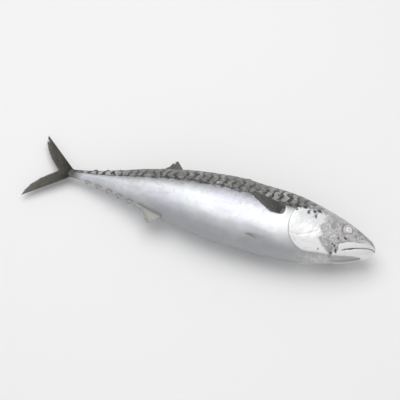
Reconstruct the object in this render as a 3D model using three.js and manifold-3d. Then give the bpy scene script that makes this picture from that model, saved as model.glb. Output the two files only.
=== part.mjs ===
// A whole raw mackerel, ungutted and with its head on, lying on its left flank on a flat surface.
// Millimetres, +Z up. The head points along +X, the back faces +Y, the belly -Y, and the right
// flank is on top. The origin is on the surface, under the middle of the fish's bounding box.
// A station is a distance behind the tip of the snout, measured along the fish.
import * as THREE from "three";
import { mergeVertices } from "three/addons/utils/BufferGeometryUtils.js";
import Module from "manifold-3d";

const wasm = await Module();
wasm.setup();

// Driving dimensions.
const BODY_LENGTH = 322; // snout to the end of the tail stalk
const REST_HEIGHT = 25; // of the fish's middle plane above the surface, where the flank rests
const SECTION_POWER = 2.15; // of the superellipse that each cross-section is; 2 is an ellipse
const SNOUT_ROUNDING = 7; // length over which the snout rounds off
const STALK_ROUNDING = 3; // length over which the end of the tail stalk rounds off
const SEAT_GAP = 0.3; // left between an eye or a fin and the body
const BODY_AROUND = 36; // faces round the body
const BODY_ALONG = 48; // faces from snout to tail stalk

// Station, then the height of the back and the depth of the belly from the middle line, and the
// half width.
const GIRTH = [
  [0, 6.0, 6.2, 5.0],
  [7, 9.6, 9.8, 7.6],
  [18, 15.0, 16.0, 12.2],
  [33, 21.0, 22.6, 17.0],
  [52, 26.8, 29.0, 21.4],
  [72, 31.4, 33.8, 24.6],
  [92, 34.2, 36.0, 26.2],
  [115, 35.6, 37.0, 26.8],
  [145, 35.6, 36.8, 26.8],
  [175, 33.2, 34.0, 25.6],
  [205, 28.2, 28.6, 22.6],
  [235, 21.0, 21.4, 17.6],
  [262, 13.6, 14.2, 12.2],
  [284, 8.4, 8.8, 8.2],
  [301, 5.4, 5.6, 5.5],
  [312, 4.6, 4.8, 4.3],
  [322, 5.8, 5.8, 1.8],
];

// Station, then the height of the middle plane above the surface: the flank lies flat in the
// middle, and the tail sinks towards the surface.
const LIE = [
  [-1, 23.4],
  [50, 24.6],
  [100, REST_HEIGHT],
  [185, REST_HEIGHT],
  [235, 22.2],
  [285, 16.2],
  [322, 11.0],
  [365, 6.4],
];

const skinColour = new THREE.MeshStandardMaterial({ color: 0xd9dce2, roughness: 0.32, metalness: 0.45 });
const backFinColour = new THREE.MeshStandardMaterial({ color: 0x5c5a50, roughness: 0.5, metalness: 0.05 });
const bellyFinColour = new THREE.MeshStandardMaterial({ color: 0xb4b1aa, roughness: 0.5, metalness: 0.05 });
const tailColour = new THREE.MeshStandardMaterial({ color: 0x46432f, roughness: 0.5, metalness: 0.05 });
const eyeColour = new THREE.MeshStandardMaterial({ color: 0xb9b9b2, roughness: 0.15, metalness: 0.1 });

// A smooth curve through the rows of a table: evaluate(x) gives the columns after the first.
function smoothTable(rows) {
  const columns = rows[0].length - 1;
  return new THREE.CubicInterpolant(
    rows.map((row) => row[0]),
    rows.flatMap((row) => row.slice(1)),
    columns,
  );
}

const girthTable = smoothTable(GIRTH);
const lieTable = smoothTable(LIE);
const lieAt = (station) => lieTable.evaluate(station)[0];

// A quarter circle's rise over the first stretch from an end, so that the end is round.
const roundEnd = (distance, rounding) =>
  Math.sqrt(1 - (1 - THREE.MathUtils.clamp(distance / rounding, 0, 1)) ** 2);

// The section's sizes at a station, on a skin that is grown outwards by a margin.
function girthAt(station, grow = 0) {
  const snout = roundEnd(station + grow, SNOUT_ROUNDING);
  const stalk = roundEnd(BODY_LENGTH + grow - station, STALK_ROUNDING);
  const [back, belly, half] = girthTable.evaluate(station).map((size) => (size + grow) * snout * stalk);
  return { back, belly, half };
}

// A point of the skin: the angle goes from the right flank, 0, over the back, 90 degrees. The
// flank that the fish rests on is pressed flat.
function skinPoint(station, angle, grow) {
  const { back, belly, half } = girthAt(station, grow);
  const [sine, cosine] = [Math.sin(angle), Math.cos(angle)];
  const bulge = (x) => Math.sign(x) * Math.abs(x) ** (2 / SECTION_POWER);
  const z = lieAt(station) + bulge(cosine) * half;
  return [-station, bulge(sine) * (sine > 0 ? back : belly), Math.max(z, -grow)];
}

// Half the body's width at a station, at a height above or below its middle line.
function halfWidthAt(station, y) {
  const { back, belly, half } = girthAt(station);
  const share = Math.min(Math.abs(y) / (y > 0 ? back : belly), 1);
  return half * (1 - share ** SECTION_POWER) ** (1 / SECTION_POWER);
}

// A geometry's triangles as a manifold solid, and back.
function solidOf(geometry) {
  const bare = geometry.clone().deleteAttribute("normal").deleteAttribute("uv");
  const merged = mergeVertices(bare, 1e-4);
  return new wasm.Manifold(
    new wasm.Mesh({
      numProp: 3,
      vertProperties: merged.attributes.position.array,
      triVerts: new Uint32Array(merged.index.array),
    }),
  );
}

function geometryOf(solid) {
  const { vertProperties, triVerts } = solid.getMesh();
  const geometry = new THREE.BufferGeometry();
  geometry.setAttribute("position", new THREE.BufferAttribute(vertProperties, 3));
  geometry.setIndex(new THREE.BufferAttribute(triVerts, 1));
  geometry.computeVertexNormals();
  return geometry;
}

// Moves each vertex of a geometry to where place(vertex) says.
function reshape(geometry, place) {
  const position = geometry.attributes.position;
  const vertex = new THREE.Vector3();
  for (let i = 0; i < position.count; i++) {
    vertex.fromBufferAttribute(position, i);
    position.setXYZ(i, ...place(vertex));
  }
  return geometry;
}

// The body's skin, grown by a margin: a sphere whose poles are the snout and the tail stalk.
function bodySolid(grow) {
  const sphere = new THREE.SphereGeometry(1, BODY_AROUND, BODY_ALONG);
  return solidOf(
    reshape(sphere, (v) => {
      const station = THREE.MathUtils.mapLinear(v.y, 1, -1, -grow, BODY_LENGTH + grow);
      return skinPoint(station, Math.atan2(v.z, v.x), grow);
    }),
  );
}

// A fin's blade is a thin box of rays. u runs from a ray's root to its tip, v from the leading
// ray to the last, and w from one face to the other; place(u, v, w) gives the point.
function bladeSolid(along, across, place) {
  const box = new THREE.BoxGeometry(1, 1, 1, along, across, 1);
  return solidOf(reshape(box, (p) => place(p.x + 0.5, p.y + 0.5, p.z + 0.5)));
}

// A fin's rays: the root goes from one end to the other, and each ray leaves it at an angle from
// straight astern, with a length from the fin's own table of [v, length].
function finRays({ rootStart, rootEnd, startAngle, endAngle, lengths }) {
  const lengthTable = smoothTable(lengths);
  const root = new THREE.LineCurve(new THREE.Vector2(...rootStart), new THREE.Vector2(...rootEnd));
  return (u, v) => {
    const angle = THREE.MathUtils.degToRad(THREE.MathUtils.lerp(startAngle, endAngle, v));
    const reach = u * lengthTable.evaluate(v)[0];
    const at = root.getPoint(v);
    return { station: at.x + reach * Math.cos(angle), y: at.y + reach * Math.sin(angle) };
  };
}

// A fin of the middle plane: it stands between the two flanks, and its blade thins to the tip.
function middleFin({ rays, thickness, side = 1, along = 5, across = 8 }) {
  const at = finRays(rays);
  return bladeSolid(along, across, (u, v, w) => {
    const { station, y } = at(u, v);
    const half = (side * thickness * (1 - 0.6 * u)) / 2;
    return [-station, y, lieAt(station) + THREE.MathUtils.lerp(-half, half, w)];
  });
}

// A paired fin: it lies folded back on a flank. Side 1 is the right flank, on top, and side -1
// the left one, where the surface below presses it flat. A margin widens its outline by a share.
function pairedFin({ rays, thickness, side, margin = 0, along = 8, across = 6 }) {
  const at = finRays(rays);
  const widen = (share) => THREE.MathUtils.lerp(-margin, 1 + margin, share);
  return bladeSolid(along, across, (u, v, w) => {
    const { station, y } = at(widen(u), widen(v));
    const lift = halfWidthAt(station, y) + SEAT_GAP + thickness * (side > 0 ? w : 1 - w);
    const z = lieAt(station) + side * lift;
    return [-station, y, side > 0 ? z : Math.max(z, thickness * w)];
  });
}

// An eye, grown by a margin: a flattened ball set in the side of the head, facing a little
// forward.
const EYE = { station: 30.5, y: 6.5, radius: 7, depth: 4.4, stand: 0.9, forward: 0.3 };

function eyeSolid(side, grow) {
  const ball = new THREE.SphereGeometry(1, 18, 10);
  ball.scale(EYE.radius + grow, EYE.radius + grow, EYE.depth + grow);
  ball.rotateY(side * EYE.forward);
  const out = halfWidthAt(EYE.station, EYE.y) + EYE.stand - EYE.depth;
  ball.translate(-EYE.station, EYE.y, lieAt(EYE.station) + side * out);
  return solidOf(ball);
}

const mesh = (name, solid, material) => {
  const made = new THREE.Mesh(geometryOf(solid), material);
  made.name = name;
  return made;
};

// The fins of the back and of the belly. Roots start inside the body, and the skin's margin cuts
// them off just above it. Heights are signed: above the middle line on the back, below it on the
// belly.
const skinMargin = bodySolid(SEAT_GAP);
const ROOT_DEPTH = 2.5;

function edgeFin(name, { from, to, side, startAngle, endAngle, lengths, thickness, along, across }, material) {
  const edge = (station) => {
    const { back, belly } = girthAt(station);
    return side > 0 ? back - ROOT_DEPTH : ROOT_DEPTH - belly;
  };
  const rays = {
    rootStart: [from, edge(from)],
    rootEnd: [to, edge(to)],
    startAngle: side * startAngle,
    endAngle: side * endAngle,
    lengths,
  };
  return mesh(name, middleFin({ rays, thickness, side, along, across }).subtract(skinMargin), material);
}

// The first fin of the back is a fan of spines, folded down almost flat.
const firstDorsal = edgeFin(
  "first_dorsal_fin",
  {
    from: 110,
    to: 152,
    side: 1,
    startAngle: 17,
    endAngle: 9,
    lengths: [[0, 34], [0.3, 30], [0.7, 21], [1, 12]],
    thickness: 1.8,
    along: 6,
    across: 10,
  },
  backFinColour,
);

// The second fin of the back and the fin of the belly stand opposite each other.
const RAYED_FIN = {
  startAngle: 46,
  endAngle: 22,
  lengths: [[0, 21], [0.15, 18.5], [0.4, 13], [0.7, 10], [1, 10.5]],
  thickness: 1.5,
};
const secondDorsal = edgeFin("second_dorsal_fin", { ...RAYED_FIN, from: 203, to: 230, side: 1 }, backFinColour);
const anal = edgeFin("anal_fin", { ...RAYED_FIN, from: 208, to: 234, side: -1 }, bellyFinColour);

// Five finlets follow each of them down to the tail stalk.
const FINLET_COUNT = 5;
const FINLET_STEP = 12.2;
const FINLET = {
  startAngle: 40,
  endAngle: 22,
  lengths: [[0, 8.2], [0.5, 7.4], [1, 6.2]],
  thickness: 1.3,
  along: 3,
  across: 3,
};

function finlets(name, first, side, material) {
  return Array.from({ length: FINLET_COUNT }, (_, i) => {
    const from = first + i * FINLET_STEP;
    return edgeFin(`${name}_${i + 1}`, { ...FINLET, from, to: from + 4.5, side }, material);
  });
}

// The tail fin is a fan of rays from the end of the stalk, long at both edges and short in the
// fork.
const TAIL_SPREAD = 40;
const tail = mesh(
  "tail_fin",
  middleFin({
    rays: {
      rootStart: [315, 2.6],
      rootEnd: [315, -2.6],
      startAngle: TAIL_SPREAD,
      endAngle: -TAIL_SPREAD,
      lengths: [[0, 59], [0.1, 48], [0.25, 31], [0.5, 18], [0.75, 31], [0.9, 48], [1, 59]],
    },
    thickness: 2,
    along: 8,
    across: 20,
  }).subtract(skinMargin),
  tailColour,
);

// The breast fins lie on the flanks behind the gill covers, and the smaller belly fins beside
// the keel of the belly.
const PECTORAL = {
  rays: {
    rootStart: [91, 6],
    rootEnd: [94, -4.5],
    startAngle: 10,
    endAngle: 0,
    lengths: [[0, 40], [0.15, 40], [0.45, 31], [0.75, 21], [1, 13]],
  },
  thickness: 0.9,
};
const PELVIC = {
  rays: {
    rootStart: [100, -28],
    rootEnd: [101, -32.8],
    startAngle: -4,
    endAngle: 1,
    lengths: [[0, 20], [0.4, 24], [1, 15]],
  },
  thickness: 0.9,
};
const pairs = [
  ["right", 1],
  ["left", -1],
].map(([hand, side]) => ({
  side,
  pectoral: mesh(`pectoral_fin_${hand}`, pairedFin({ ...PECTORAL, side }), backFinColour),
  pelvic: mesh(`pelvic_fin_${hand}`, pairedFin({ ...PELVIC, side }), bellyFinColour),
  eye: mesh(`eye_${hand}`, eyeSolid(side, 0), eyeColour),
}));

// The body keeps a socket for each eye, and a shallow bed where the surface below presses the
// left breast fin into the flank.
const finBed = pairedFin({ ...PECTORAL, side: -1, margin: 0.04, thickness: PECTORAL.thickness + SEAT_GAP });
const body = pairs.reduce((solid, { side }) => solid.subtract(eyeSolid(side, SEAT_GAP)), bodySolid(0));

const fish = new THREE.Group();
fish.add(
  mesh("body", body.subtract(finBed), skinColour),
  firstDorsal,
  secondDorsal,
  ...finlets("dorsal_finlet", 239, 1, backFinColour),
  anal,
  ...finlets("anal_finlet", 242, -1, bellyFinColour),
  tail,
  ...pairs.flatMap(({ pectoral, pelvic, eye }) => [pectoral, pelvic, eye]),
);

// The origin goes under the middle of the bounding box, on the surface.
const box = new THREE.Box3().setFromObject(fish);
const middle = box.getCenter(new THREE.Vector3());
fish.position.set(-middle.x, -middle.y, -box.min.z);

export default fish;
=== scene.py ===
import math

import bmesh
import bpy
import numpy as np
from mathutils import Matrix, Vector, noise


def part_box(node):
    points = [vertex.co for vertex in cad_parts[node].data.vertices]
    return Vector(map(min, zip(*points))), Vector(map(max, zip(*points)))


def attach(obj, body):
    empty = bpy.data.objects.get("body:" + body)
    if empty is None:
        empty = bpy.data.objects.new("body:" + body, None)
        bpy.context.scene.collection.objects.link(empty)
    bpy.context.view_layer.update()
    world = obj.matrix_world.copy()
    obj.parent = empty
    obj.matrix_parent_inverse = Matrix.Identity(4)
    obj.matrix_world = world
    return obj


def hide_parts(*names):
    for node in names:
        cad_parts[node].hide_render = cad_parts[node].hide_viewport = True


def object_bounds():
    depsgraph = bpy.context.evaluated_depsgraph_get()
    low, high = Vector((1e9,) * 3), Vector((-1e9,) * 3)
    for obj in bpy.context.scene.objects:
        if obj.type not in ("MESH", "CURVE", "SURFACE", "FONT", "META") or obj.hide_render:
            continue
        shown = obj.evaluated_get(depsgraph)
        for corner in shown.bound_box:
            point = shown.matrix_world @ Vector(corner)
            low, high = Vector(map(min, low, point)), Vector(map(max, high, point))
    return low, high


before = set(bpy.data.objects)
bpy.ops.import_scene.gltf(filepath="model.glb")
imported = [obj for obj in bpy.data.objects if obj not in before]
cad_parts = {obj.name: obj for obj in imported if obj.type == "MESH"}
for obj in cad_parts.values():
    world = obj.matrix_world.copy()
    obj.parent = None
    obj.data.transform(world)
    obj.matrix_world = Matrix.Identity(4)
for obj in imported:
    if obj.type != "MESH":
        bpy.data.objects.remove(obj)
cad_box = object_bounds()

MM = 0.001

# The view. The fish lies with its head towards the lower right and its back away, and the camera
# looks down on its right flank from in front of the belly, through a long lens.
VIEW_AZIMUTH = math.radians(18.5)
VIEW_ELEVATION = math.radians(57)
VIEW_DISTANCE = 1.5
LENS_LENGTH = 136
aim = (cad_box[0] + cad_box[1]) / 2
towards_camera = Vector(
    (
        math.sin(VIEW_AZIMUTH) * math.cos(VIEW_ELEVATION),
        -math.cos(VIEW_AZIMUTH) * math.cos(VIEW_ELEVATION),
        math.sin(VIEW_ELEVATION),
    )
)
camera_lens = bpy.data.cameras.new("camera")
camera_lens.lens = LENS_LENGTH
camera = bpy.data.objects.new("camera", camera_lens)
camera.location = aim + towards_camera * VIEW_DISTANCE
camera.rotation_euler = towards_camera.to_track_quat("Z", "Y").to_euler()
bpy.context.scene.collection.objects.link(camera)
bpy.context.scene.camera = camera


# The trunk and head, one closed skin from the snout to the end of the tail stalk. The section is a
# superellipse, and the flank underneath is pressed flat where the fish's weight rests on it.
# Stations are distances behind the snout's tip, and heights are from the middle line to the back.
SNOUT_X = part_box("body")[1].x
MIDDLE_Y = (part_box("tail_fin")[0].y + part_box("tail_fin")[1].y) / 2
BODY_LENGTH = 322 * MM
SECTION_POWER = 2.15
SNOUT_ROUNDING = 7 * MM
STALK_ROUNDING = 3 * MM


def smooth_table(rows, unit=MM):
    """A smooth curve through rows of a first column and the values that go with it."""
    rows = np.array(rows, float) * unit
    at, values = rows[:, 0], rows[:, 1:]
    slopes = np.gradient(values, at, axis=0)

    def value(x):
        x = np.asarray(x, float)
        i = np.clip(np.searchsorted(at, x) - 1, 0, len(at) - 2)
        step = at[i + 1] - at[i]
        t = np.clip((x - at[i]) / step, 0, 1)[..., None]
        step = step[..., None]
        ease = t * t * (3 - 2 * t)
        bend = t * (1 - t) * step * ((1 - t) * slopes[i] - t * slopes[i + 1])
        found = values[i] * (1 - ease) + values[i + 1] * ease + bend
        return found[..., 0] if found.shape[-1] == 1 else found

    return value


# Station, height of the back, depth of the belly, half width.
girth_table = smooth_table(
    [
        (0, 6.0, 6.2, 5.0),
        (7, 9.6, 9.8, 7.6),
        (18, 15.0, 16.0, 12.2),
        (33, 21.0, 22.6, 17.0),
        (52, 26.8, 29.0, 21.4),
        (72, 31.4, 33.8, 24.6),
        (92, 34.2, 36.0, 26.2),
        (115, 35.6, 37.0, 26.8),
        (145, 35.6, 36.8, 26.8),
        (175, 33.2, 34.0, 25.6),
        (205, 28.2, 28.6, 22.6),
        (235, 21.0, 21.4, 17.6),
        (262, 13.6, 14.2, 12.2),
        (284, 8.4, 8.8, 8.2),
        (301, 5.4, 5.6, 5.5),
        (312, 4.6, 4.8, 4.3),
        (322, 5.8, 5.8, 1.8),
    ]
)
# Station, height of the middle plane above the surface.
lie = smooth_table(
    [(-1, 23.4), (50, 24.6), (100, 25), (185, 25), (235, 22.2), (285, 16.2), (322, 11), (365, 6.4)]
)


def ramp(value, low, high):
    """A smooth step from 0 at low to 1 at high."""
    t = np.clip((value - low) / (high - low), 0, 1)
    return t * t * (3 - 2 * t)


def round_end(distance, rounding):
    """The share of its full size that a rounded end has at a distance from its tip."""
    return np.sqrt(1 - (1 - np.clip(distance / rounding, 0, 1)) ** 2)


def girth(station):
    """Height of the back, depth of the belly and half width at a station."""
    size = girth_table(station)
    ends = round_end(station, SNOUT_ROUNDING) * round_end(BODY_LENGTH - station, STALK_ROUNDING)
    return np.moveaxis(size * ends[..., None], -1, 0)


def half_width(station, height):
    """Half the body's width at a station and a height."""
    back, belly, half = girth(station)
    share = np.clip(np.abs(height) / np.where(height > 0, back, belly), 0, 1)
    return half * (1 - share**SECTION_POWER) ** (1 / SECTION_POWER)


def points_of(mesh):
    flat = np.empty(len(mesh.vertices) * 3)
    mesh.vertices.foreach_get("co", flat)
    return flat.reshape(-1, 3)


def move_points(mesh, points):
    mesh.vertices.foreach_set("co", points.ravel())
    mesh.update()


def store(mesh, name, *columns):
    """Keeps three values at each point of a mesh, for its material to read."""
    values = np.stack(columns, axis=-1).astype(np.float32)
    mesh.attributes.new(name, "FLOAT_VECTOR", "POINT").data.foreach_set("vector", values.ravel())


def show(name, mesh, material):
    """Makes a smooth piece of a mesh and a material."""
    mesh.materials.append(material)
    mesh.shade_smooth()
    piece = bpy.data.objects.new(name, mesh)
    bpy.context.scene.collection.objects.link(piece)
    return piece


SKIN_AROUND = 256
SKIN_ALONG = 330
# Share of the rings, station in metres: the rings crowd together on the head.
ring_station = smooth_table(
    [
        (0, 0),
        (0.01, 0.0002),
        (0.03, 0.0017),
        (0.06, 0.006),
        (0.12, 0.016),
        (0.25, 0.040),
        (0.4, 0.072),
        (0.5, 0.095),
        (0.65, 0.140),
        (0.8, 0.205),
        (0.92, 0.275),
        (0.985, 0.3195),
        (1, 0.322),
    ],
    unit=1,
)
shape = bmesh.new()
bmesh.ops.create_uvsphere(shape, u_segments=SKIN_AROUND, v_segments=SKIN_ALONG, radius=1)
skin_mesh = bpy.data.meshes.new("body_skin")
shape.to_mesh(skin_mesh)
shape.free()
ball = points_of(skin_mesh)
station = ring_station(np.arccos(np.clip(ball[:, 2], -1, 1)) / math.pi)
angle = np.arctan2(ball[:, 0], ball[:, 1])
sine, cosine = np.sin(angle), np.cos(angle)
back, belly, half = girth(station)
height = np.sign(sine) * np.abs(sine) ** (2 / SECTION_POWER) * np.where(sine > 0, back, belly)
across = np.sign(cosine) * np.abs(cosine) ** (2 / SECTION_POWER) * half
skin_points = np.stack([SNOUT_X - station, MIDDLE_Y + height, lie(station) + across], axis=-1)
move_points(skin_mesh, skin_points)
outward = np.empty(len(skin_points) * 3)
skin_mesh.vertices.foreach_get("normal", outward)
outward = outward.reshape(-1, 3)


# The relief of the skin: jaws, eye sockets, nostrils, gill covers, grooves and keels, each on its
# own line in the side view. Bones lie just under the skin of the head and make its edges crisp.
side_view = np.stack([station, height], axis=-1)


def smooth_line(points, count=48):
    """A smooth line through points of station and height, in millimetres."""
    rows = [(i, *point) for i, point in enumerate(points)]
    return smooth_table(rows, unit=1)(np.linspace(0, len(points) - 1, count)) * MM


def beside(line):
    """How far each skin point is from a line in the side view, in mm: above zero on its left."""
    steps = np.diff(line, axis=0)
    nearest = np.full(len(side_view), np.inf)
    side = np.ones(len(side_view))
    for start, step in zip(line, steps):
        gap = side_view - start
        along = np.clip(gap @ step / (step @ step), 0, 1)
        off = np.linalg.norm(gap - along[:, None] * step, axis=-1)
        cross = step[0] * gap[:, 1] - step[1] * gap[:, 0]
        closer = off < nearest
        side[closer] = np.sign(cross[closer])
        nearest[closer] = off[closer]
    return nearest * side / MM


def hump(distance, width):
    """A smooth bump, 1 at distance 0 and falling away over the width."""
    return np.exp(-((distance / width) ** 2))


s, h, w = station / MM, height / MM, across / MM
mouth = beside(
    smooth_line([(-1, -0.6), (4, -2.4), (9, -4.4), (14, -6.8), (19.5, -9.8), (25.5, -13), (31, -16)])
)
maxilla = beside(
    smooth_line(
        [
            (3, 2),
            (9, 0.6),
            (16, -2),
            (23, -5),
            (29, -8),
            (33.4, -11.6),
            (35, -15.2),
            (33.6, -18.2),
            (30, -19),
        ]
    )
)
jaw_joint = beside(smooth_line([(36, -13), (39, -16.5), (40.3, -20), (39.5, -23)]))
preopercle = beside(smooth_line([(46, 17), (52.5, 9), (56, -1), (55, -11), (50, -18), (42, -22)]))
gill_edge = beside(
    smooth_line(
        [
            (66, 19),
            (75, 15.8),
            (82.5, 8.5),
            (86, -2),
            (85.5, -12),
            (82, -21.5),
            (75, -27),
            (66, -28.6),
            (52, -25.8),
            (38, -22.4),
            (25, -17.7),
            (14, -13.3),
        ],
        90,
    )
)
subopercle = beside(smooth_line([(57, -8), (66, -14.5), (75, -18.5), (84, -19)]))
lateral_line = beside(
    smooth_line([(84, 14), (120, 13), (160, 9.5), (200, 5.5), (250, 2.2), (300, 0.4), (318, 0)], 80)
)

# The eye's socket and its jelly lid are ovals around the eye, measured as shares of their size.
eye_middle = (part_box("eye_right")[0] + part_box("eye_right")[1]) / 2
eye_s, eye_h = (SNOUT_X - eye_middle.x) / MM, (eye_middle.y - MIDDLE_Y) / MM
socket = np.hypot((s - eye_s) / 5.6, (h - eye_h) / 6.9)
fore_and_aft = np.abs(s - eye_s) / np.maximum(np.hypot(s - eye_s, h - eye_h), 1)
lid = np.hypot((s - eye_s - 5.5) / 17.5, (h - eye_h + 1) / 10.5)
# Station, height and size of each nostril.
NOSTRILS = [(17.2, 7.6, 0.75), (19.8, 8.8, 1.05)]
nostril = sum(hump(np.hypot(s - at, h - up), size) for at, up, size in NOSTRILS)

# The area of each bone or fold, from 0 off it to 1 on it.
MOUTH_DEEPEST = 23
mouth_end = ramp(s, 32, 27)
in_gill_cover = ramp(gill_edge, 0.7, -0.7) * ramp(preopercle, -1.2, 1.2)
in_gill_cover = in_gill_cover * ramp(h, 21, 14) * ramp(s, 38, 44)
in_maxilla = ramp(maxilla, 0.5, -0.4) * ramp(mouth, -0.3, 0.3) * ramp(s, 36.5, 33)
in_mandible = ramp(mouth, 0.2, -0.6) * ramp(jaw_joint, 0.8, -0.8)
in_mandible = in_mandible * ramp(gill_edge, 0.6, -0.4) * ramp(s, 40, 37)
on_throat = ramp(gill_edge, -0.8, 2.6) * ramp(h, -8, -11) * ramp(s, 78, 56) * ramp(s, 17, 36)
in_chin_groove = (h < 0) * ramp(s, 7, 14) * ramp(s, 48, 34)

# The ribs of the gill cover fan out from its hinge.
HINGE_S, HINGE_H = 57, 12
ribs_fan = np.arctan2(h - HINGE_H, s - HINGE_S)
from_hinge = np.hypot(s - HINGE_S, h - HINGE_H)

# Noise in three directions, which makes edges ragged. Its seed keeps it the same each time.
NOISE_SEED = 5
noise.seed_set(NOISE_SEED)
warp = np.array([noise.noise_vector(point * 260) for point in map(Vector, skin_points)])

# Heights in mm, above zero for a step or ridge and below zero for a groove.
mouth_slit = -1.0 * hump(mouth, 0.85) * mouth_end * (0.55 + 0.45 * hump(s - MOUTH_DEEPEST, 6))
upper_jaw = 0.45 * in_maxilla - 0.3 * hump(maxilla - 0.7, 0.8) * ramp(mouth, -1, 1) * ramp(s, 37, 33)
lower_jaw = 0.3 * in_mandible * ramp(s, 3, 10) - 0.5 * hump(jaw_joint, 1.0)
eye_hollow = -3.0 * ramp(socket, 1.18, 0.74)
eye_rim = 0.45 * hump(socket - 1.24, 0.22) * fore_and_aft**2 + 0.45 * ramp(lid, 1.05, 0.5)
nostril_pits = -1.0 * np.clip(nostril, 0, 1)
cheek_step = 0.5 * ramp(preopercle, 1.2, -0.6) * ramp(preopercle, -9, -1)
cheek_step = cheek_step * ramp(h, 20, 12) * ramp(s, 38, 44)
trunk_side = 0.35 + 0.65 * ramp(s, 44, 70)
gill_step = 0.95 * ramp(gill_edge, 1.0, -1.0) * ramp(gill_edge, -17, -1) * trunk_side * ramp(s, 12, 30)
gill_slit = -0.6 * ramp(gill_edge, -0.6, 0.8) * ramp(gill_edge, 9, 0.5) * ramp(s, 56, 68)
gill_ribs = 0.06 * np.sin(24 * ribs_fan + 2 * warp[:, 0]) * in_gill_cover * ramp(from_hinge, 6, 16)
gill_seam = -0.2 * hump(subopercle, 0.8)
throat_seam = -0.5 * hump(gill_edge, 0.9) * ramp(s, 12, 20) * ramp(s, 74, 62) * (h < 0)
throat_rays = 0.16 * np.sin(gill_edge * 2.4) * on_throat * ramp(s, 26, 36)
chin_groove = -0.5 * hump(w, 1.3) * in_chin_groove
side_groove = -0.16 * hump(lateral_line, 0.8) * ramp(s, 84, 92)
spine_groove = -2.2 * hump(w, 1.5) * ramp(h, 10, 16) * ramp(s, 106, 112) * ramp(s, 166, 154)
tail_keels = 0.7 * hump(np.abs(h) - 1.7, 0.7) * ramp(s, 300, 309) * ramp(s, 321, 316)
tail_wedge = -0.95 * ramp(s, 310, 321) * ramp(np.abs(w), 0.2, 1)
vent = -0.9 * hump(np.hypot(s - 199, w), 1.6) * (h < 0)
breast_fin_seat = 0.7 * hump(np.hypot((s - 92) / 6, (h - 0.7) / 7.5), 0.85)

# Flesh under the skin of the trunk: soft dents from packing, and the faint folded bands of muscle.
soft_noise = np.array([noise.fractal(point * 34, 1, 2, 3) for point in map(Vector, skin_points)])
fine_noise = np.array([noise.noise(Vector((x * 90, y * 260, z * 260))) for x, y, z in skin_points])
soft_dents = 0.6 * soft_noise * ramp(s, 40, 95)
fine_dents = 0.10 * fine_noise * (0.4 + 0.6 * ramp(s, 40, 100))
BAND_WIDTH = 28
BAND_PITCH = 6.4
band_fold = np.abs((h + 5) % BAND_WIDTH - BAND_WIDTH / 2) / (BAND_WIDTH / 2)
muscle_wave = np.sin(2 * math.pi * (s + 7 * band_fold) / BAND_PITCH + 3 * soft_noise)
muscle_bands = 0.06 * muscle_wave * (0.5 + fine_noise) * ramp(s, 92, 120) * ramp(s, 300, 270)

head_relief = mouth_slit + upper_jaw + lower_jaw + eye_hollow + eye_rim + nostril_pits + cheek_step
head_relief += gill_step + gill_slit + gill_ribs + gill_seam + throat_seam + throat_rays + chin_groove
trunk_relief = side_groove + spine_groove + tail_keels + tail_wedge + vent + breast_fin_seat
relief = head_relief + trunk_relief + soft_dents + fine_dents + muscle_bands
relief = np.where(relief > 0, relief * ramp(s, 0.5, 7), relief)

# The breast fin underneath lies in a bed in the flank, between it and the surface. The rest of
# the flank is pressed flat where it would reach below the surface.
FIN_BED = 1.1
from_fin = np.abs(beside(smooth_line([(91, 1), (100, 3.2), (112, 6), (131, 11.4)])))
fin_half_width = np.interp(s, [88, 92, 112, 134], [5.5, 6.5, 5, 1.5])
bed = FIN_BED * ramp(from_fin - fin_half_width, 1.6, 0.2)
skin_points += outward * relief[:, None] * MM
pressed = skin_points[:, 2] - bed * MM * (w < 0)
PRESS_SOFTNESS = 0.6 * MM
skin_points[:, 2] = (pressed + np.sqrt(pressed**2 + PRESS_SOFTNESS**2)) / 2 + bed * MM * (w < 0)
move_points(skin_mesh, skin_points)


# Shader maths as sums. A Value is a socket that arithmetic adds Math nodes to, and Finish is one
# material: its node method adds any other node.
class Value:
    def __init__(self, finish, socket):
        self.finish, self.socket = finish, socket

    def maths(self, operation, *terms):
        return self.finish.node("ShaderNodeMath", {"operation": operation}, terms)

    def __add__(self, other):
        return self.maths("ADD", self, other)

    def __sub__(self, other):
        return self.maths("SUBTRACT", self, other)

    def __rsub__(self, other):
        return self.maths("SUBTRACT", other, self)

    def __mul__(self, other):
        return self.maths("MULTIPLY", self, other)

    def __truediv__(self, other):
        return self.maths("DIVIDE", self, other)

    def __pow__(self, other):
        return self.maths("POWER", self, other)

    __radd__ = __add__
    __rmul__ = __mul__

    def above(self, other):
        return self.maths("MAXIMUM", self, other)

    def clamp(self):
        return self.maths("MINIMUM", self.above(0), 1)

    def size(self):
        return self.maths("ABSOLUTE", self)

    def sine(self):
        return self.maths("SINE", self)

    def ramp(self, low, high):
        """A smooth step from 0 at low to 1 at high."""
        settings = {"interpolation_type": "SMOOTHSTEP"}
        inputs = {"Value": self, "From Min": low, "From Max": high}
        return self.finish.node("ShaderNodeMapRange", settings, inputs)


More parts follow.
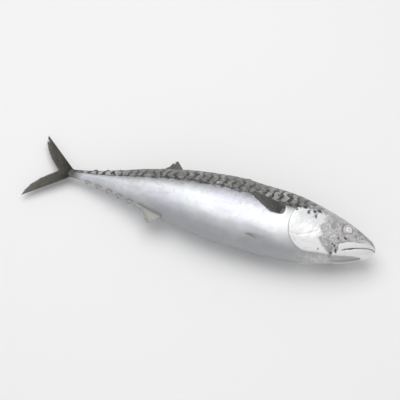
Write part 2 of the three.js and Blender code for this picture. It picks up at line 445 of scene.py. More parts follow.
class Finish:
    def __init__(self, name, constants):
        self.material = bpy.data.materials.new(name)
        self.material.use_nodes = True
        self.tree = self.material.node_tree
        self.shader = self.tree.nodes["Principled BSDF"]
        for socket, value in constants.items():
            self.paint(socket, value)

    def node(self, kind, settings=None, inputs=(), output=0):
        node = self.tree.nodes.new(kind)
        for name, value in (settings or {}).items():
            setattr(node, name, value)
        pairs = inputs.items() if isinstance(inputs, dict) else enumerate(inputs)
        for key, value in pairs:
            self.feed(node.inputs[key], value)
        return Value(self, node.outputs[output])

    def feed(self, socket, value):
        if isinstance(value, Value):
            self.tree.links.new(value.socket, socket)
        elif isinstance(value, tuple) and socket.type == "RGBA":
            socket.default_value = (*value, 1)
        else:
            socket.default_value = value

    def paint(self, socket, value):
        self.feed(self.shader.inputs[socket], value)

    def place(self):
        return self.node("ShaderNodeTexCoord", output="Object")

    def stored(self, name):
        """The three values that a mesh keeps at its points."""
        kept = self.node("ShaderNodeAttribute", {"attribute_name": name}, output="Vector")
        parts = self.node("ShaderNodeSeparateXYZ", inputs=[kept])
        return [Value(self, socket) for socket in parts.socket.node.outputs]

    def vector(self, x, y, z=0):
        return self.node("ShaderNodeCombineXYZ", inputs=[x, y, z])

    def moved(self, vector, by=(0, 0, 0), turn=(0, 0, 0), scale=(1, 1, 1)):
        inputs = {"Vector": vector, "Location": by, "Rotation": turn, "Scale": scale}
        return self.node("ShaderNodeMapping", inputs=inputs)

    def noise(self, vector, scale, detail=2, roughness=0.5, distortion=0):
        """Noise from about -1 to 1, with grains of one metre over scale."""
        inputs = {
            "Vector": vector,
            "Scale": scale,
            "Detail": detail,
            "Roughness": roughness,
            "Distortion": distortion,
        }
        return self.node("ShaderNodeTexNoise", inputs=inputs) * 2 - 1

    def mix(self, share, a, b):
        """Colour a where share is 0 and colour b where it is 1."""
        node = self.tree.nodes.new("ShaderNodeMix")
        node.data_type = "RGBA"
        self.feed(node.inputs[0], share)
        self.feed(node.inputs[6], a)
        self.feed(node.inputs[7], b)
        return Value(self, node.outputs[2])

    def bump(self, height, distance, strength=1):
        inputs = {"Height": height, "Distance": distance, "Strength": strength}
        self.paint("Normal", self.node("ShaderNodeBump", inputs=inputs))


# The paint of the skin. The back is olive grey with dark wavy bars that end in a broken line above
# the middle of the flank; the flank is silver with a lilac sheen, and the belly is greyed by painted
# shade.
# Station, share of the half depth at which the dark back ends.
border = smooth_table(
    [
        (0, 0.3),
        (15, 0.5),
        (30, 0.74),
        (50, 0.52),
        (66, 0.40),
        (86, 0.30),
        (110, 0.27),
        (200, 0.24),
        (250, 0.14),
        (285, 0.02),
        (322, -0.1),
    ],
    unit=1,
)
share_up = height / np.maximum(np.where(height > 0, back, belly), 0.1 * MM)
from_ridge = np.abs(angle - math.pi / 2)
from_ridge = np.minimum(from_ridge, 2 * math.pi - from_ridge)
store(skin_mesh, "skin", station, share_up - border(s), from_ridge * (back + half) / 2)

# The dark spots of the head: station, height, size. Those of the left side are a little further
# forward and higher.
SPOTS = [
    (82.5, 5.6, 1.7),
    (80.5, 10.8, 2.4),
    (75.5, 11.5, 1.9),
    (71, 7.4, 2.3),
    (66.5, 10.8, 1.8),
    (63.5, 6.6, 2.7),
    (61.5, 13, 2.6),
    (54, 12.5, 1.5),
    (38.3, -15.4, 1.7),
    (35.6, -18.6, 1.7),
    (37, -7.2, 1.7),
    (30.5, -4.2, 1.6),
    (40, -22.2, 1.4),
    (52, -23.4, 1.1),
    (21, 1.6, 1.2),
    (14.5, 3, 1.3),
]
SPOT_SHIFT = 3.5
SPOT_WARP = 1.5
left_shift = SPOT_SHIFT * (w < 0)
ragged_s = s + SPOT_WARP * warp[:, 0] + left_shift
ragged_h = h + SPOT_WARP * warp[:, 1] - left_shift / 2
spots = sum(hump(np.hypot(ragged_s - at, ragged_h - up), size) for at, up, size in SPOTS)

# How dark the painted shade in each crease, groove and nostril is, with the faint dark lateral line,
# and where the cheek is bare and the lid lies over the eye.
crease_shade_and_side_line = 0.3 * hump(jaw_joint, 1.0) + 0.22 * hump(preopercle, 1.1) + 0.14 * hump(subopercle, 0.9)
crease_shade_and_side_line += 0.9 * np.clip(nostril, 0, 1) + 0.16 * hump(lateral_line, 0.9) * ramp(s, 84, 92)
crease_shade_and_side_line += 0.5 * hump(w, 1.1) * in_chin_groove
jaws = np.maximum(in_maxilla, in_mandible)
ragged_plate = preopercle + 3.4 * warp[:, 2] + 2 * np.sin(0.5 * h)
bare_cheek = ramp(ragged_plate, 3, -4) * (1 - jaws) * ramp(gill_edge, 0.5, -1.5) * ramp(s, 6, 16)
bare_cheek *= ramp(s, 62, 56)
jelly = ramp(lid, 1.1, 0.7) * ramp(socket, 0.95, 1.15)
store(skin_mesh, "edges", mouth, gill_edge, maxilla)
store(
    skin_mesh,
    "edges_on",
    mouth_end * (0.62 + 0.38 * hump(s - MOUTH_DEEPEST, 5)),
    ramp(h, 21, 15) * (0.45 + 0.55 * ramp(s, 66, 78)) * ramp(s, 12, 30),
    ramp(mouth, -0.6, 0.6) * ramp(s, 5, 12) * ramp(s, 37, 34),
)
store(skin_mesh, "marks", np.clip(spots, 0, 1.2), np.clip(crease_shade_and_side_line, 0, 1), jelly)
store(skin_mesh, "areas", np.maximum(in_gill_cover, jaws) * (1 - bare_cheek), bare_cheek, on_throat)

skin = Finish("fish_skin", {"Coat Weight": 0.28, "Coat Roughness": 0.18, "Specular IOR Level": 0.5})
place = skin.place()
along, rise, girth_arc = skin.stored("skin")
mouth_at, gill_at, maxilla_at = skin.stored("edges")
mouth_on, gill_on, maxilla_on = skin.stored("edges_on")
dots, shaded_creases_and_line, eyelid = skin.stored("marks")
plates, cheek, throat = skin.stored("areas")

wander = skin.noise(place, 75, 2)
quiver = skin.noise(place, 230, 2)
mottle = skin.noise(place, 420, 3, 0.6)
clouds = skin.noise(place, 26, 3)
fine = skin.noise(place, 900, 1)
edge = rise + wander * 0.07 + quiver * 0.06 + mottle * 0.05
dark_back = edge.ramp(-0.09, 0.06)
on_trunk = along.ramp(52 * MM, 78 * MM)

# The bars: bent by slow and by quick noise, of uneven width, and broken here and there.
BAR_PITCH = 8.2 * MM
ZIGZAG_PITCH = 14 * MM
zigzag = (girth_arc * (2 * math.pi / ZIGZAG_PITCH) + wander * 5).sine()
phase = along * (2 * math.pi / BAR_PITCH) + zigzag * 0.85 + wander * 3.6 + quiver * 1.3
worms = skin.noise(skin.moved(place, scale=(1, 1.6, 1.6)), 200, 3, 0.6, 0.8)
bars = phase.sine() * (0.98 + clouds * 0.6) + worms * 2.4 + clouds * 0.5 + mottle * 0.8
bars = bars.ramp(0.05, 0.65)
squiggles = skin.noise(skin.moved(place, scale=(1.2, 1, 1)), 170, 2, 0.55, 1.4)
squiggles = ((0.075 - squiggles.size()) * 26).clamp() * (quiver + 0.35).clamp()
bars = bars.above(squiggles * 0.75)
blots = (worms * 1.2 + quiver * 0.8 + mottle * 0.3).ramp(0.1, 0.5)
bars = bars * on_trunk + (1 - on_trunk) * blots * rise.ramp(-0.05, 0.3)
dashes = skin.noise(skin.moved(place, scale=(0.55, 2, 2)), 150, 2, 0.5, 0.5).ramp(-0.22, 0.08)
border_line = ((0.07 - (edge + 0.01).size()) * 24).clamp() * dashes * on_trunk

# The back, darkest along its ridge, with small pale flecks near the flank: frost, and painted
# highlights of wet glints.
DULL_OLIVE = (0.15, 0.15, 0.14)
PALE_OLIVE = (0.50, 0.50, 0.485)
RIDGE_TONE = (0.05, 0.054, 0.054)
BAR_TONE = (0.013, 0.012, 0.011)
FLECK_AND_GLINT_TONE = (0.6, 0.6, 0.6)
back_tone = skin.mix((clouds + worms * 0.9).ramp(-0.4, 0.5), DULL_OLIVE, PALE_OLIVE)
back_tone = skin.mix(rise.ramp(0.3, 0.8) * 0.9, back_tone, RIDGE_TONE)
back_tone = skin.mix(bars * (0.92 + clouds * 0.4).clamp(), back_tone, BAR_TONE)
# Painted highlights: pale flecks of wet glints, with bits of frost.
frost_flecks_and_glints = (skin.noise(skin.moved(place, by=(1, 0, 0)), 950, 1) + quiver * 0.6).ramp(0.42, 0.75)
back_tone = skin.mix(frost_flecks_and_glints * rise.ramp(0.7, 0.1) * 0.6, back_tone, FLECK_AND_GLINT_TONE)

# The flank: silver, greyer towards the back and with painted shade towards the belly, with a lilac
# sheen, grey grazes, painted shade in the faint folds of the muscle bands and fine dark freckles.
BORDER_GREY = (0.25, 0.25, 0.25)
SILVER = (0.80, 0.82, 0.85)
LILAC = (0.62, 0.61, 0.77)
COOL_GREY = (0.62, 0.68, 0.70)
GRAZE_GREY = (0.47, 0.47, 0.48)
PAINTED_FOLD_SHADE = (0.45, 0.46, 0.50)
GILL_WHITE = (0.87, 0.88, 0.885)
PAINTED_BELLY_SHADE = (0.30, 0.305, 0.315)
FRECKLE_TONE = (0.09, 0.09, 0.085)
SPECK_TONE = (0.12, 0.11, 0.10)
FAINT_BAR_TONE = (0.10, 0.10, 0.095)
BORDER_LINE_TONE = (0.03, 0.03, 0.028)
BAND_LENGTH = 8 * MM
silver = skin.mix(edge.ramp(0.0, -0.5), BORDER_GREY, SILVER)
sheen = skin.noise(skin.moved(place, scale=(0.35, 1, 1)), 55, 2)
silver = skin.mix(sheen.ramp(-0.2, 0.5) * 0.7, silver, LILAC)
silver = skin.mix(clouds.ramp(0, 0.7) * 0.3, silver, COOL_GREY)
grazes = skin.noise(skin.moved(place, scale=(0.16, 1, 1)), 330, 3, 0.6)
silver = skin.mix((grazes * 0.8 + clouds * 0.8).ramp(0.0, 0.7) * 0.5, silver, GRAZE_GREY)
bands = (along * (2 * math.pi / BAND_LENGTH) + wander * 8 + sheen * 4).sine() * clouds.ramp(-0.3, 0.4)
# Painted shade in the faint folds between the muscle bands.
silver = skin.mix((bands + quiver * 1.5).ramp(-0.1, 1.2) * on_trunk * 0.14, silver, PAINTED_FOLD_SHADE)
silver = skin.mix(gill_at.ramp(30, 4) * rise.ramp(-0.05, -0.3) * 0.75, silver, GILL_WHITE)
# Painted shade: the lowest belly is greyed as if in shadow.
silver = skin.mix((rise + wander * 0.08).ramp(-0.78, -1.25) * 0.82, silver, PAINTED_BELLY_SHADE)
freckles = (mottle * 0.9 + fine * 0.5 + grazes * 0.3).ramp(0.22, 0.6) * rise.ramp(-0.55, -0.02)
silver = skin.mix(freckles * 0.7, silver, FRECKLE_TONE)
specks = (fine + mottle * 0.4).ramp(0.62, 0.8)
silver = skin.mix(specks * 0.6, silver, SPECK_TONE)
silver = skin.mix(bars * rise.ramp(-0.2, -0.02) * 0.5, silver, FAINT_BAR_TONE)
tone = skin.mix(dark_back, silver, back_tone)
tone = skin.mix(border_line * 0.85, tone, BORDER_LINE_TONE)

# The head: a bare blotchy cheek, bright gill cover and jaws, a grey throat and a clear lid.
CHEEK_GREY, CHEEK_PALE = (0.34, 0.335, 0.337), (0.77, 0.765, 0.775)
BLOTCH_TONE = (0.085, 0.08, 0.078)
SHELL_WHITE, SHELL_LILAC = (0.90, 0.905, 0.90), (0.57, 0.57, 0.62)
STREAK_GREY = (0.56, 0.58, 0.58)
THROAT_GREY, THROAT_PALE = (0.40, 0.40, 0.40), (0.74, 0.735, 0.76)
LID_GREY, LID_PALE = (0.30, 0.29, 0.288), (0.66, 0.64, 0.635)
LID_BLOTCH = (0.09, 0.087, 0.085)
lights = 1 - dark_back * (1 - plates * 0.6)
cheek_tone = skin.mix((worms + quiver).ramp(-0.4, 0.6), CHEEK_GREY, CHEEK_PALE)
cheek_on = (cheek * 1.5 + quiver * 0.5 + mottle * 0.4 - 0.25).clamp() * lights
tone = skin.mix(cheek_on * 0.92, tone, cheek_tone)
blotchy = (quiver * 0.9 + worms * 0.6 + mottle * 0.6).ramp(0.02, 0.55)
tone = skin.mix(cheek_on * blotchy * 0.75, tone, BLOTCH_TONE)
shell = skin.mix((sheen + mottle * 0.6).ramp(-0.2, 0.8) * 0.6, SHELL_WHITE, SHELL_LILAC)
streaks = (gill_at * 1.5 + wander * 5 + quiver * 1.4).sine().ramp(0.1, 1.0) * gill_at.ramp(-15, -3)
streaks = streaks * along.ramp(52 * MM, 64 * MM) * (quiver + 0.45).clamp()
shell = skin.mix(streaks * 0.5, shell, STREAK_GREY)
tone = skin.mix(plates * (1 - dark_back) * 0.95, tone, shell)
throat_tone = skin.mix((mottle + quiver + sheen).ramp(-0.6, 0.8), THROAT_GREY, THROAT_PALE)
tone = skin.mix(throat * 0.8, tone, throat_tone)
lid_tone = skin.mix((worms + quiver).ramp(-0.4, 0.5), LID_GREY, LID_PALE)
tone = skin.mix(eyelid * (0.75 + quiver * 0.8).clamp(), tone, lid_tone)
tone = skin.mix(eyelid * (quiver + mottle * 0.6).ramp(0.15, 0.7) * 0.55, tone, LID_BLOTCH)

# The end of the stalk takes on the tail fin's dark tone.
STALK_TONE = (0.06, 0.056, 0.044)
tail_base = along.ramp(300 * MM, 317 * MM) + mottle * 0.35 * along.ramp(296 * MM, 306 * MM)
tone = skin.mix(tail_base.clamp() * 0.92, tone, STALK_TONE)


def drawn(distance, width):
    """A fine dark line at a distance of 0 mm, of uneven width and slightly unsteady."""
    unsteady = (distance + mottle * 0.35).size()
    return (1 - unsteady / (width + quiver * (width * 0.7))).ramp(0, 0.7)


# The dark lines of the mouth, gill slit and upper jaw's edge, painted shade in their slits and seams,
# the dark spots, and the painted shade in the creases.
DARK_LINE_AND_SHADE_TONE = (0.02, 0.018, 0.018)
lines_spots_and_shade = drawn(mouth_at, 0.85) * mouth_on
lines_spots_and_shade = lines_spots_and_shade.above(drawn(gill_at, 0.6) * gill_on * (0.22 + wander * 0.6).clamp())
lines_spots_and_shade = lines_spots_and_shade.above(drawn(maxilla_at, 0.7) * maxilla_on * (0.4 + quiver * 0.7).clamp())
lines_spots_and_shade = lines_spots_and_shade.above((dots * 1.2 + mottle * 0.8 + quiver * 0.5).ramp(0.3, 1.05) * 0.9)
lines_spots_and_shade = lines_spots_and_shade.above(shaded_creases_and_line * (0.85 + mottle * 0.6).clamp())
tone = skin.mix(lines_spots_and_shade.clamp(), tone, DARK_LINE_AND_SHADE_TONE)

# Slime and frost in fine pale threads and patches, most of it along the edge of the back, mixed with
# painted glare highlights of the wet skin.
FROST_AND_GLARE_WHITE = (0.84, 0.84, 0.85)
threads = skin.noise(skin.moved(place, turn=(0.3, 0.2, 0.7), scale=(0.3, 1.3, 1.1)), 260, 2, 0.5, 0.7)
frost_and_glare = ((0.035 - threads.size()) * 40).clamp() * skin.noise(place, 60, 3).ramp(0.08, 0.4)
frost_and_glare = frost_and_glare.above((quiver + clouds + mottle * 0.5).ramp(0.45, 1.0) * 0.6)
frost_and_glare = frost_and_glare * rise.ramp(-0.5, -0.05) * rise.ramp(0.85, 0.4) * (1 - lines_spots_and_shade)
tone = skin.mix(frost_and_glare * 0.8, tone, FROST_AND_GLARE_WHITE)
skin.paint("Base Color", tone)

# The silver is a little metallic. Small scales and the grain of the skin make a fine bump.
SCALES_PER_METRE = 620
bare_silver = rise.ramp(-0.02, -0.4) * (1 - eyelid) * (1 - cheek)
skin.paint("Metallic", bare_silver * 0.22 + 0.03)
skin.paint("Roughness", 0.42 + mottle * 0.1 + frost_and_glare * 0.2 + quiver * 0.08 - eyelid * 0.14)
cells = {"Vector": skin.moved(place, scale=(1, 1.3, 1.3)), "Scale": SCALES_PER_METRE}
scales = skin.node("ShaderNodeTexVoronoi", inputs=cells)
grain = scales * 0.45 * on_trunk + mottle * 0.35 + skin.noise(place, 130, 3) * 1.2 + bands * 0.07
skin.bump(grain, 0.13 * MM, 0.85)

body_skin = show("body_skin", skin_mesh, skin.material)
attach(body_skin, "root")
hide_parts("body")


# The eyes, flattened balls a little sunk in their sockets and turned forwards. The pupil has gone
# milky, as it does on chilled fish, in a grey ring, and the silvery iris is clouded pink. A wet
# cornea covers it all.
EYE_RADIUS = 7 * MM
EYE_DEPTH = 4.4 * MM
EYE_FORWARD = 0.3
EYE_SUNK = 0.7 * MM
IRIS_GREY = (0.42, 0.395, 0.39)
IRIS_PINK = (0.76, 0.72, 0.715)
IRIS_CLOUD = (0.17, 0.16, 0.158)
RIM_TONE = (0.16, 0.152, 0.15)
RING_TONE = (0.12, 0.118, 0.12)
MILK_WHITE = (0.78, 0.79, 0.79)
MILK_GREY = (0.45, 0.46, 0.47)
for hand, side in (("right", 1), ("left", -1)):
    low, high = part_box(f"eye_{hand}")
    centre = (low + high) / 2
    shape = bmesh.new()
    bmesh.ops.create_uvsphere(shape, u_segments=64, v_segments=32, radius=1)
    bmesh.ops.scale(shape, vec=(EYE_RADIUS, EYE_RADIUS, EYE_DEPTH), verts=shape.verts)
    tilt = Matrix.Rotation(side * EYE_FORWARD, 3, "Y")
    bmesh.ops.rotate(shape, cent=(0, 0, 0), matrix=tilt, verts=shape.verts)
    bmesh.ops.translate(shape, vec=centre - Vector((0, 0, side * EYE_SUNK)), verts=shape.verts)
    eye_mesh = bpy.data.meshes.new(f"eyeball_{hand}")
    shape.to_mesh(eye_mesh)
    shape.free()

    glaze = Finish(f"eye_{hand}", {"Roughness": 0.32, "Coat Weight": 0.7, "Coat Roughness": 0.07})
    pupil_at = centre + tilt @ Vector((0, 0, side * EYE_DEPTH))
    offset = glaze.node("ShaderNodeSeparateXYZ", inputs=[glaze.moved(glaze.place(), by=-pupil_at)])
    across_x, across_y = [Value(glaze, socket) for socket in offset.socket.node.outputs[:2]]
    ragged = glaze.noise(glaze.place(), 480, 4, 0.65)
    smoky = glaze.noise(glaze.place(), 200, 2)
    radius = (across_x**2 + across_y**2) ** 0.5 + (ragged * 0.7 + smoky * 0.6) * MM
    iris = glaze.mix((ragged * 0.9 + 0.5).clamp(), IRIS_GREY, IRIS_PINK)
    iris = glaze.mix((smoky + ragged * 0.5).ramp(0.0, 0.4) * 0.45, iris, IRIS_CLOUD)
    iris = glaze.mix(radius.ramp(5.4 * MM, 7.0 * MM) * 0.55, iris, RIM_TONE)
    ring = radius.ramp(5.0 * MM, 3.6 * MM) * (0.6 + smoky * 0.9).clamp()
    iris = glaze.mix(ring, iris, RING_TONE)
    iris = glaze.mix(radius.ramp(4.0 * MM, 2.6 * MM), iris, MILK_WHITE)
    milk_middle = (radius.ramp(2.4 * MM, 0.4 * MM) + ragged * 0.5).clamp()
    iris = glaze.mix(milk_middle * 0.55, iris, MILK_GREY)
    glaze.paint("Base Color", iris)
    glaze.paint("Metallic", radius.ramp(3.6 * MM, 4.4 * MM) * 0.12)
    eyeball = show(f"eyeball_{hand}", eye_mesh, glaze.material)
    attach(eyeball, "root")
    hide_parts(f"eye_{hand}")


# The breast fins, folded back along the flanks. Soft rays fan out of a fleshy root and carry a
# thin dark membrane, which frays between the ray tips.
def slab_mesh(name, along_count, across_count, place_point):
    """A closed slab of faces: place_point gives each point from its shares u, v and w, which run
    from a ray's root to its tip, from the leading ray to the last, and from under to upper side."""
    shape = bmesh.new()
    bmesh.ops.create_grid(shape, x_segments=along_count, y_segments=across_count, size=0.5)
    bmesh.ops.solidify(shape, geom=shape.faces[:], thickness=1)
    bmesh.ops.recalc_face_normals(shape, faces=shape.faces)
    mesh = bpy.data.meshes.new(name)
    shape.to_mesh(mesh)
    shape.free()
    u, v, w = (points_of(mesh) + (0.5, 0.5, 0)).T
    w = (w - w.min()) / (w.max() - w.min())
    move_points(mesh, np.stack(place_point(u, v, w), axis=-1))
    store(mesh, "blade", u, v, w)
    shape = bmesh.new()
    shape.from_mesh(mesh)
    bmesh.ops.recalc_face_normals(shape, faces=shape.faces)
    shape.to_mesh(mesh)
    shape.free()
    return mesh


def ray_crest(u, v, rays):
    """The ridges of the rays, 1 on each ray and 0 between. Past the middle each ray forks."""
    single = np.cos(math.pi * v * rays) ** 2
    forked = np.cos(2 * math.pi * v * rays) ** 2
    return single + (forked - single) * ramp(u, 0.45, 0.75)


def fin_points(root, angles, lengths, rays, fray, uneven=0.05, round_root=0):
    """Station and height of a fin's points, from shares u and v. The root runs between two points,
    bowed forwards by round_root, and each ray leaves it at an angle from straight astern. The rays
    are worn short by up to the share uneven, and between their tips the membrane frays."""
    (from_s, from_h), (to_s, to_h) = root
    length_table = smooth_table(lengths, unit=1)
    worn = np.random.default_rng(rays).uniform(0.1, 1, rays) ** 2
    worn_tip = np.random.default_rng(rays + 1).uniform(-uneven, 0, rays + 1)

    def place(u, v):
        angle = np.radians(angles[0] + (angles[1] - angles[0]) * v)
        gap = np.minimum((v * rays).astype(int), rays - 1)
        stub = 1 + np.interp(v * rays, np.arange(rays + 1), worn_tip) * u**3
        notch = 1 - fray * worn[gap] * (1 - ray_crest(u, v, rays)) * u**8
        reach = u * length_table(v) * stub * notch - round_root * np.sin(math.pi * v) * (1 - u)
        along = from_s + (to_s - from_s) * v + reach * np.cos(angle)
        up = from_h + (to_h - from_h) * v + reach * np.sin(angle)
        return along * MM, up * MM

    return place


def fin_finish(name, rays, membrane, ray_tone, edge_tone, root_tone=None):
    """Wet membrane over rays. The leading edge, the tips and the fleshy root have their own tones."""
    fin = Finish(name, {"Coat Weight": 0.35, "Coat Roughness": 0.2, "Roughness": 0.42})
    u, v, _ = fin.stored("blade")
    spot = fin.noise(fin.place(), 320, 3)
    stripe = (v * (math.pi * rays)).sine() ** 2
    fine = (v * (2 * math.pi * rays)).sine() ** 2
    crest = 1 - (stripe + (fine - stripe) * u.ramp(0.45, 0.75))
    tone = fin.mix((crest * 0.8 + spot * 0.35).clamp(), membrane, ray_tone)
    tone = fin.mix((u.ramp(0.62, 1.0) + spot * 0.4).clamp() * 0.75, tone, edge_tone)
    tone = fin.mix(v.ramp(0.1, 0.0) * 0.55, tone, membrane)
    patches = (spot * 0.9 + fin.noise(fin.place(), 110, 2)).ramp(0.1, 0.7)
    tone = fin.mix(patches * 0.4, tone, edge_tone)
    if root_tone:
        near_root = u.ramp(0.34, 0.12) * u.ramp(0.0, 0.1) * v.ramp(0.25, 0.6)
        flesh = (near_root * 1.4 + spot).ramp(0.3, 0.9)
        tone = fin.mix(flesh * 0.8, tone, root_tone)
    fin.paint("Base Color", tone)
    fin.bump(crest * 0.7 + spot * 0.4, 0.2 * MM, 0.6)
    return fin.material


PECTORAL_RAYS = 19
pectoral = fin_points(
    root=[(91, 6), (94, -4.5)],
    angles=(10, 0),
    lengths=[(0, 37), (0.12, 39.5), (0.45, 31), (0.75, 21), (1, 13)],
    rays=PECTORAL_RAYS,
    fray=0.14,
    round_root=3.2,
)
PECTORAL_THICKNESS = 0.7 * MM
dark_fin = fin_finish(
    "breast_fin",
    PECTORAL_RAYS,
    membrane=(0.02, 0.018, 0.015),
    ray_tone=(0.06, 0.053, 0.044),
    edge_tone=(0.11, 0.105, 0.095),
    root_tone=(0.20, 0.195, 0.185),
)


def folded_fin(name, points, rays, thickness, side):
    """A fin that lies on a flank, its root sunk in the skin. Side 1 is the right flank, on top."""

    def place_point(u, v, w):
        at, up = points(u, v)
        fleshy = ramp(u, 0.3, 0.05)
        crest = ray_crest(u, v, rays) * (1 - fleshy)
        ridge = (0.6 + 0.4 * crest + 0.5 * fleshy) * thickness * (1 - 0.5 * u)
        rim = ramp(np.minimum(v, 1 - v), 0, 0.12)
        sunk = 1.6 * np.maximum(ramp(u, 0.14, 0), fleshy * (1 - rim) * 0.7)
        lift = half_width(at, up) + (0.2 - sunk + 0.35 * ramp(u, 0.3, 1)) * MM
        lift = lift + ridge * (w if side > 0 else 1 - w)
        z = lie(at) + side * lift
        if side < 0:
            z = np.maximum(z, 0.05 * MM + ridge * w)
        return SNOUT_X - at, MIDDLE_Y + up, z

    return slab_mesh(name, 40, rays * 6, place_point)


for hand, side in (("right", 1), ("left", -1)):
    name = f"breast_fin_{hand}"
    fin = show(name, folded_fin(name, pectoral, PECTORAL_RAYS, PECTORAL_THICKNESS, side), dark_fin)
    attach(fin, "root")
    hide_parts(f"pectoral_fin_{hand}")


# The belly fins, one each side of the belly's keel just behind the breast fins. They are
# small and grey, a spine and a few soft rays each, and lie flat against the skin.
PELVIC_RAYS = 6
pelvic = fin_points(
    root=[(100.4, -29), (100.9, -31.4)],
    angles=(-3, -1),
    lengths=[(0, 19), (0.3, 23), (0.6, 21), (1, 14)],
    rays=PELVIC_RAYS,
    fray=0.2,
    round_root=1.5,
)
PELVIC_THICKNESS = 0.7 * MM
pale_fin = fin_finish(
    "belly_fin",
    PELVIC_RAYS,
    membrane=(0.36, 0.36, 0.36),
    ray_tone=(0.58, 0.58, 0.575),
    edge_tone=(0.30, 0.30, 0.295),
)
for hand, side in (("right", 1), ("left", -1)):
    name = f"belly_fin_{hand}"
    fin = show(name, folded_fin(name, pelvic, PELVIC_RAYS, PELVIC_THICKNESS, side), pale_fin)
    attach(fin, "root")
    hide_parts(f"pelvic_fin_{hand}")


# The fins of the back and the underside stand in the middle plane between the flanks. The first is
# a fan of spines, folded down into its groove; the second and the one opposite it are soft-rayed.
def edge_root(from_s, to_s, side, depth=2.5):
    """The root line of a fin on the back, side 1, or the belly, side -1, just inside the skin."""
    ends = []
    for at in (from_s, to_s):
        back, belly, _ = girth(np.array(at * MM)) / MM
        ends.append((at, side * ((back if side > 0 else belly) - depth)))
    return ends


def standing_fin(name, points, rays, thickness, wave, along_count, across_count):
    """A fin between the two flanks. It thins to its tip and waves out of its plane, by wave in mm."""

    def place_point(u, v, w):
        at, up = points(u, v)
        ridge = (0.5 + 0.5 * ray_crest(u, v, rays)) * thickness * (1 - 0.6 * u) / 2
        ripple = wave * MM * np.sin(7 * v + 2.5 * u) * u**1.5
        return SNOUT_X - at, MIDDLE_Y + up, lie(at) + ripple + ridge * (2 * w - 1)

    return slab_mesh(name, along_count, across_count, place_point)


SPINES = 11
spiny = fin_points(
    root=edge_root(110, 152, 1),
    angles=(15, 7),
    lengths=[(0, 33), (0.3, 29.5), (0.7, 20), (1, 11)],
    rays=SPINES,
    fray=0.2,
)
SPINE_THICKNESS = 1.7 * MM
spine_finish = fin_finish(
    "spiny_fin",
    SPINES,
    membrane=(0.07, 0.068, 0.06),
    ray_tone=(0.15, 0.146, 0.13),
    edge_tone=(0.08, 0.08, 0.07),
)
spiny_mesh = standing_fin("spiny_back_fin", spiny, SPINES, SPINE_THICKNESS, 0.5, 36, SPINES * 8)
spiny_back_fin = show("spiny_back_fin", spiny_mesh, spine_finish)
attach(spiny_back_fin, "root")
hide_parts("first_dorsal_fin")

SOFT_RAYS = 12
SOFT_LENGTHS = [(0, 19.5), (0.15, 18), (0.4, 12.5), (0.7, 9.6), (1, 10)]
SOFT_ANGLES = (46, 22)
SOFT_THICKNESS = 1.2 * MM
olive_fin = fin_finish(
    "back_fin",
    SOFT_RAYS,
    membrane=(0.06, 0.06, 0.048),
    ray_tone=(0.13, 0.126, 0.105),
    edge_tone=(0.10, 0.096, 0.08),
)
grey_fin = fin_finish(
    "under_fin",
    SOFT_RAYS,
    membrane=(0.34, 0.33, 0.31),
    ray_tone=(0.52, 0.51, 0.48),
    edge_tone=(0.24, 0.235, 0.22),
)
for name, node, side, start, end, finish, slot in (
    ("soft_back_fin", "second_dorsal_fin", 1, 203, 230, olive_fin, "back_fins"),
    ("under_fin", "anal_fin", -1, 208, 234, grey_fin, "belly_fins"),
):
    points = fin_points(
        root=edge_root(start, end, side),
        angles=[side * angle for angle in SOFT_ANGLES],
        lengths=SOFT_LENGTHS,
        rays=SOFT_RAYS,
        fray=0.18,
    )
    blade = standing_fin(name, points, SOFT_RAYS, SOFT_THICKNESS, 0.5, 28, SOFT_RAYS * 8)
    fin = show(name, blade, finish)
    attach(fin, "root")
    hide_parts(node)


# The finlets, five above and five below, between those fins and the tail. Each is one branched ray
# with its own scrap of membrane, free at its hind edge.
FINLETS = 5
FINLET_STEP = 12.2
FINLET_RAYS = 4
FINLET_BASE = 4.5
FINLET_THICKNESS = 1.1 * MM
for row, node, side, first_s, finish, slot in (
    ("upper_finlet", "dorsal_finlet", 1, 239, olive_fin, "back_fins"),
    ("lower_finlet", "anal_finlet", -1, 242, grey_fin, "belly_fins"),
):
    for number in range(FINLETS):
        start = first_s + number * FINLET_STEP
        points = fin_points(
            root=edge_root(start, start + FINLET_BASE, side, depth=2),
            angles=(side * 38, side * 18),
            lengths=[(0, 7.6), (0.5, 7.2), (1, 6.0)],
            rays=FINLET_RAYS,
            fray=0.16,
        )
        name = f"{row}_{number + 1}"
        blade = standing_fin(name, points, FINLET_RAYS, FINLET_THICKNESS, 0.2, 12, FINLET_RAYS * 6)
        fin = show(name, blade, finish)
        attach(fin, "root")
        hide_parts(f"{node}_{number + 1}")


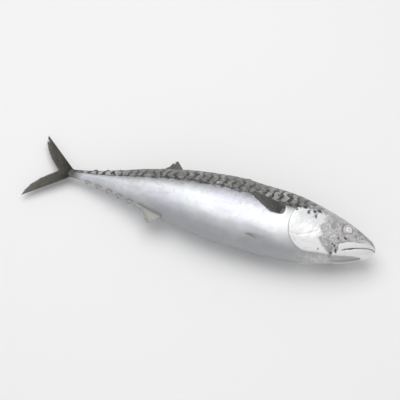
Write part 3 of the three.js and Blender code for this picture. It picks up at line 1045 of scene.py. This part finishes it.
# The tail fin, a stiff fork of close-set rays on the end of the stalk. It is dark olive, a little
# paler towards its thin hind edges, which are worn and split.
TAIL_RAYS = 34
TAIL_SPREAD = 40
TAIL_THICKNESS = 1.9 * MM
tail = fin_points(
    root=[(315, 2.6), (315, -2.6)],
    angles=(TAIL_SPREAD, -TAIL_SPREAD),
    lengths=[(0, 56.5), (0.1, 47), (0.25, 30.5), (0.5, 17.5), (0.75, 30.5), (0.9, 47), (1, 56.5)],
    rays=TAIL_RAYS,
    fray=0.12,
    uneven=0.02,
)
tail_finish = fin_finish(
    "tail",
    TAIL_RAYS,
    membrane=(0.03, 0.028, 0.019),
    ray_tone=(0.085, 0.078, 0.055),
    edge_tone=(0.12, 0.115, 0.095),
)
tail_mesh = standing_fin("tail_fork", tail, TAIL_RAYS, TAIL_THICKNESS, 0.4, 60, TAIL_RAYS * 8)
tail_fin = show("tail_fork", tail_mesh, tail_finish)
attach(tail_fin, "root")
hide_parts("tail_fin")


# The studio: a plain pale floor, one large soft light overhead, and a weaker one in front of the
# belly. The sky is an even white, and the Standard view keeps whites white.
FLOOR_HALF = 4
FLOOR_WHITE = (0.9, 0.9, 0.9)
SKY_STRENGTH = 0.51
bpy.context.scene.view_settings.view_transform = "Standard"
shape = bmesh.new()
bmesh.ops.create_grid(shape, x_segments=1, y_segments=1, size=FLOOR_HALF)
floor_mesh = bpy.data.meshes.new("floor")
shape.to_mesh(floor_mesh)
shape.free()
floor_finish = Finish("floor", {"Base Color": FLOOR_WHITE, "Roughness": 0.75})
floor = show("floor", floor_mesh, floor_finish.material)

# Name, place, width and power of each light.
for name, place_at, size, power in (
    ("overhead", (-0.2, 0.28, 1.3), 1.3, 10.6),
    ("front", (0.6, -1.1, 0.8), 1, 1.7),
):
    lamp_data = bpy.data.lights.new(name, "AREA")
    lamp_data.size = size
    lamp_data.energy = power
    lamp = bpy.data.objects.new(name, lamp_data)
    lamp.location = place_at
    lamp.rotation_euler = Vector(place_at).to_track_quat("Z", "Y").to_euler()
    bpy.context.scene.collection.objects.link(lamp)
world = bpy.data.worlds.new("studio")
world.use_nodes = True
sky = world.node_tree.nodes["Background"]
sky.inputs["Color"].default_value = (1, 1, 1, 1)
sky.inputs["Strength"].default_value = SKY_STRENGTH
bpy.context.scene.world = world
